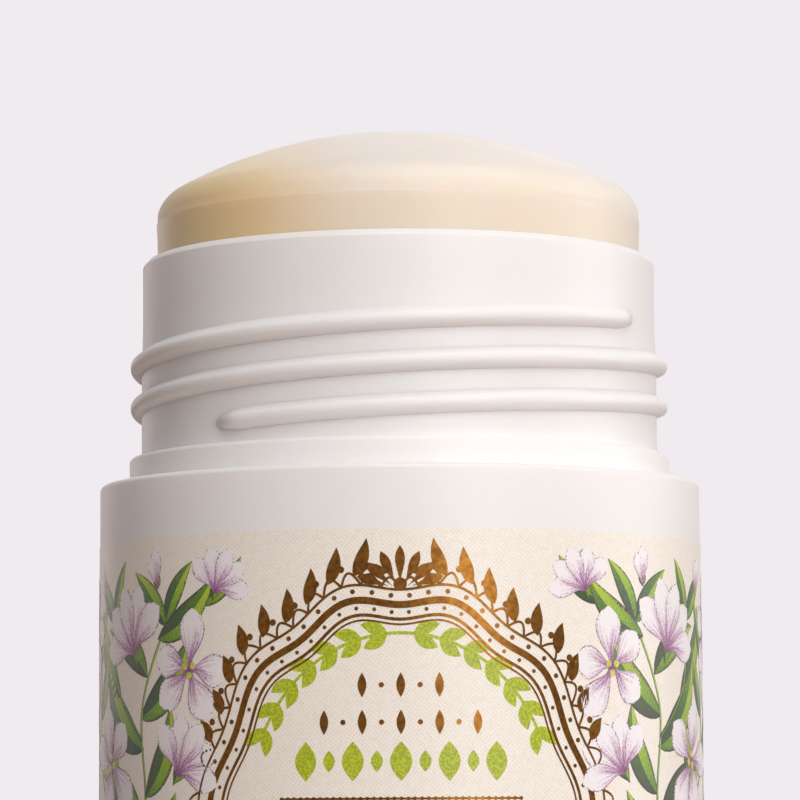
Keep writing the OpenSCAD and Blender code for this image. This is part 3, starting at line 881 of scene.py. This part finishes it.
def draw_middle():
    """Plain ornaments in the frame: a laurel arc, rows of drops and dots, lozenges, beaded rules and a
    flower."""
    laurel_z, laurel_across, laurel_up = 36.2, 9.9, 11.2

    def laurel(s):
        turn = math.radians(24 + 132 * s)
        return laurel_across * math.cos(turn), laurel_z + laurel_up * math.sin(turn)
    lime.shape(laurel, lambda s: 0.2, 60, 1)
    leaf_pairs = 14
    for i in range(leaf_pairs):
        s = (i + 0.5) / leaf_pairs
        u, z = laurel(s)
        u1, z1 = laurel(min(1.0, s + 0.01))
        ahead = math.atan2(z1 - z, u1 - u) + (math.pi if s < 0.5 else 0)
        for tilt in (0.62, -0.62):
            lime.shape(curved(u, z, ahead + tilt, 1.75, -0.6 * tilt), leaf_width(0.82, 0.5), 8, 4)
    drop_pitch, drop_height = 1.2, 1.5
    for z, count in ((44.2, 5), (41.9, 9)):
        for i in range(count):
            u = (i - (count - 1) / 2) * drop_pitch
            if i % 2:
                foil.disc(u, z, 0.17, 8)
            else:
                foil.shape(curved(u, z - drop_height / 2, math.pi / 2, drop_height),
                           leaf_width(0.55, 0.5), 8, 2)
    lozenge_z, lozenge_pitch = 39.5, 1.5
    for place in range(-4, 5):
        half = 1.2 if place % 2 == 0 else 0.65
        lime.shape(curved(lozenge_pitch * place, lozenge_z - half, math.pi / 2, 2 * half),
                   leaf_width(1.15 * half, 0.5), 8, 4)
    bead_pitch = 0.4
    for z, half in ((37.2, 7.6), (23.6, 5.2)):
        foil.shape(lambda s, z=z, half=half: (half * (2 * s - 1), z), lambda s: 0.13, 24, 1)
        beads = int(half / bead_pitch)
        for i in range(2 * beads + 1):
            foil.disc(half * (i / beads - 1), z, 0.13, 8)
    flower_z = 29.8
    blossom(0, flower_z, 3.0, math.pi / 2)
    for side in (-1, 1):
        for angle, length in ((0.1, 5.0), (0.6, 3.8), (-0.4, 3.8)):
            leaf(side * 1.4, flower_z, aimed(side, angle), length, side * 0.3)


def draw_back():
    """Behind: a column of small sprigs on each side, and two foil lines round the label's foot."""
    half = math.pi * LABEL_R - 0.02
    foot = 17.0
    for z, width in ((foot, 0.3), (foot + 0.7, 0.12)):
        foil.shape(lambda s, z=z: ((2 * s - 1) * half, z), lambda s, width=width: width, 288, 1)
    column, sway = 46.0, 3.6
    first_row, row_step = 23.5, 7.6
    for side in (-1, 1):
        for row in range(4):
            z = first_row + row_step * row
            u = side * (column + (sway if row % 2 else -sway))
            blossom(u, z, 2.1, 0.4 + row)
            for angle in (0.5, 2.6, 4.0, 5.4):
                leaf(u + 1.1 * math.cos(angle), z + 1.1 * math.sin(angle), angle, 3.3, 0.4)


draw_frame()
draw_crest()
draw_middle()
for spray_side in (-1, 1):
    draw_spray(spray_side)
draw_back()


# Knob

def grip_knob():
    """The knob: a cup with scooped grip flutes, a recessed base, a hub and webs."""
    inside = BODY_R - KNOB_WALL
    flutes, flute_w, depth = 56, 1.35, 0.4
    low, high = 1.6, KNOB_H - 1.6
    run_out = 0.8
    rows = 14
    recess = 0.5
    foot_round, rim_round = 0.8, 0.3
    outline = [(0, recess), (BODY_R - 4.5, recess), (BODY_R - 4, 0.0)]
    outline += arc(BODY_R - foot_round, foot_round, foot_round, -90, 0, 8)
    outline += [(BODY_R, low + (high - low) * i / rows) for i in range(rows + 1)]
    outline += arc(BODY_R - rim_round, KNOB_H - rim_round, rim_round, 0, 90, 4)
    outline += [(inside, KNOB_H), (inside, KNOB_FLOOR), (0, KNOB_FLOOR)]
    bm = bmesh.new()
    revolve(bm, outline, flutes * 8, closed=False)
    pitch = TURN / flutes
    for v in bm.verts:
        r = math.hypot(v.co.x, v.co.y)
        if r < BODY_R - 0.01 or not low < v.co.z < high:
            continue
        off = (math.atan2(v.co.y, v.co.x) + pitch / 2) % pitch - pitch / 2
        across = abs(off * BODY_R) / (flute_w / 2)
        if across < 1:
            ends = min(1.0, (v.co.z - low) / run_out, (high - v.co.z) / run_out)
            scoop = depth * (1 - across ** 2) * math.sqrt(max(0.0, 1 - (1 - ends) ** 2))
            to_radius(v, r - scoop)
    # The hub and the webs start a little under the floor's face and reach a little into the walls.
    hub_foot, hub_top = KNOB_FLOOR - 0.1, SLEEVE_Z - 0.4
    revolve(bm, [(BEARING_R, hub_foot), (HUB_R, hub_foot), (HUB_R, hub_top), (BEARING_R, hub_top)], 64)
    webs = 12
    web_width = 1.0
    web_top = SLEEVE_Z - 3.2
    root = 0.3
    for i in range(webs):
        rib(bm, HUB_R - root, inside + root, web_width, hub_foot, web_top, TURN * i / webs)
    finish_piece(bm, "grip_knob", WHITE, "knob", ["base_knob"], sharp=40)


shell_of_sleeve()
threaded_barrel()
wax_stick()
wrap_film()
grip_knob()
leaves.finish("printed_leaves", LEAF)
petals.finish("printed_petals", PETAL)
hearts.finish("printed_hearts", HEART)
lime.finish("printed_garland", LIME)
foil.finish("stamped_foil", FOIL)
for name in ("elevator", "spindle"):
    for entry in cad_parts[name].material_slots:
        entry.material = NATURAL


# Camera: close, a little below the shoulder and looking up by a few degrees, as the photograph was taken.
# Its place is in millimetres, its pitch and roll are in radians, and its focal length is in pixels.
SENSOR = 36.0
PICTURE = 800
FOCAL_PX = 4025.4
CAMERA_PLACE = (0.06, -269.0, SHOULDER_Z - 21.45)
CAMERA_PITCH = 0.1013
CAMERA_ROLL = -0.0061

camera_data = bpy.data.cameras.new("camera")
camera_data.sensor_width = SENSOR
camera_data.lens = FOCAL_PX / PICTURE * SENSOR
camera_data.clip_start = 0.01
camera = bpy.data.objects.new("camera", camera_data)
camera.location = Vector(CAMERA_PLACE) * MM
camera.rotation_euler = (Euler((math.pi / 2 + CAMERA_PITCH, 0, 0)).to_matrix()
                         @ Euler((0, 0, CAMERA_ROLL)).to_matrix()).to_euler()
bpy.context.scene.collection.objects.link(camera)
bpy.context.scene.camera = camera


# Room: a pale backdrop and floor, two soft lights at the front right, one overhead and one at the right,
# and two faint ones behind. They all face the pack's middle.
BACKDROP = "F0EBEF"
MIDDLE = Vector((0, 0, 50)) * MM


def soft_light(name, bearing, height, distance, size, level, tint="FFFFFF"):
    """A round soft light, with distance and size in metres. bearing is in degrees to the right of the camera,
    and height in degrees above the middle. At level 1 it alone lights a surface that faces it so that its
    colour renders as written."""
    data = bpy.data.lights.new(name, "AREA")
    data.shape = "DISK"
    data.size = size
    data.energy = level * (math.pi * distance) ** 2
    data.color = colour(tint)[:3]
    turn, rise = math.radians(bearing), math.radians(height)
    toward = Vector((math.sin(turn) * math.cos(rise), -math.cos(turn) * math.cos(rise), math.sin(rise)))
    lamp = bpy.data.objects.new(name, data)
    lamp.location = MIDDLE + distance * toward
    lamp.rotation_euler = toward.to_track_quat("Z", "Y").to_euler()
    bpy.context.scene.collection.objects.link(lamp)


soft_light("key", 12, 36, 0.85, 0.6, 0.39, "FCFDFF")
soft_light("key_low", 27, 10, 0.85, 0.42, 0.31)
soft_light("top", 20, 72, 0.8, 0.5, 0.33, "FFF4EE")
soft_light("right_kicker", 98, 10, 0.85, 0.5, 0.25)
soft_light("left_rim", -150, 8, 0.8, 0.2, 0.03, "FFECEA")
soft_light("back", 180, 35, 0.9, 0.5, 0.06, "FFF4EE")


def seen_ray(tree):
    """1 for what the camera sees, straight, mirrored or through glass, and 0 for the light that spreads."""
    rays = add(tree, "ShaderNodeLightPath")
    seen = add(tree, "ShaderNodeMath", {0: rays.outputs["Is Camera Ray"], 1: rays.outputs["Is Glossy Ray"]},
               operation="MAXIMUM")
    return add(tree, "ShaderNodeMath", {0: seen.outputs[0], 1: rays.outputs["Is Transmission Ray"]},
               operation="MAXIMUM").outputs[0]


def pale_room():
    """World: one colour for what is seen, straight or mirrored, and a softer glow for the light it gives."""
    world = bpy.data.worlds.new("room")
    world.use_nodes = True
    bpy.context.scene.world = world
    tree = world.node_tree
    tree.nodes.clear()
    glow = add(tree, "ShaderNodeBackground", {"Color": colour("F0E9EC"), "Strength": 0.01})
    shown = add(tree, "ShaderNodeBackground", {"Color": colour(BACKDROP), "Strength": 1.0})
    mix = add(tree, "ShaderNodeMixShader", {0: seen_ray(tree), 1: glow.outputs[0], 2: shown.outputs[0]})
    add(tree, "ShaderNodeOutputWorld", {"Surface": mix.outputs[0]})


def pale_floor():
    """Painted floor: pale where it is seen, straight or mirrored, and warmer in the light it throws up."""
    made, tree, shader = new_material("painted_floor", Roughness=0.8)
    shader.inputs["Specular IOR Level"].default_value = 0.2
    tone = add(tree, "ShaderNodeMix", {FACTOR: seen_ray(tree), COLOUR_A: colour("CDB9AE"),
                                       COLOUR_B: colour("EDE8EC")}, data_type="RGBA")
    tree.links.new(tone.outputs[MIXED], shader.inputs["Base Color"])
    mesh = bpy.data.meshes.new("floor")
    bm = bmesh.new()
    bmesh.ops.create_circle(bm, cap_ends=True, radius=1.5, segments=96)
    bm.to_mesh(mesh)
    bm.free()
    mesh.materials.append(made)
    floor = bpy.data.objects.new("floor", mesh)
    bpy.context.scene.collection.objects.link(floor)


pale_room()
pale_floor()
bpy.context.scene.view_settings.view_transform = "Standard"
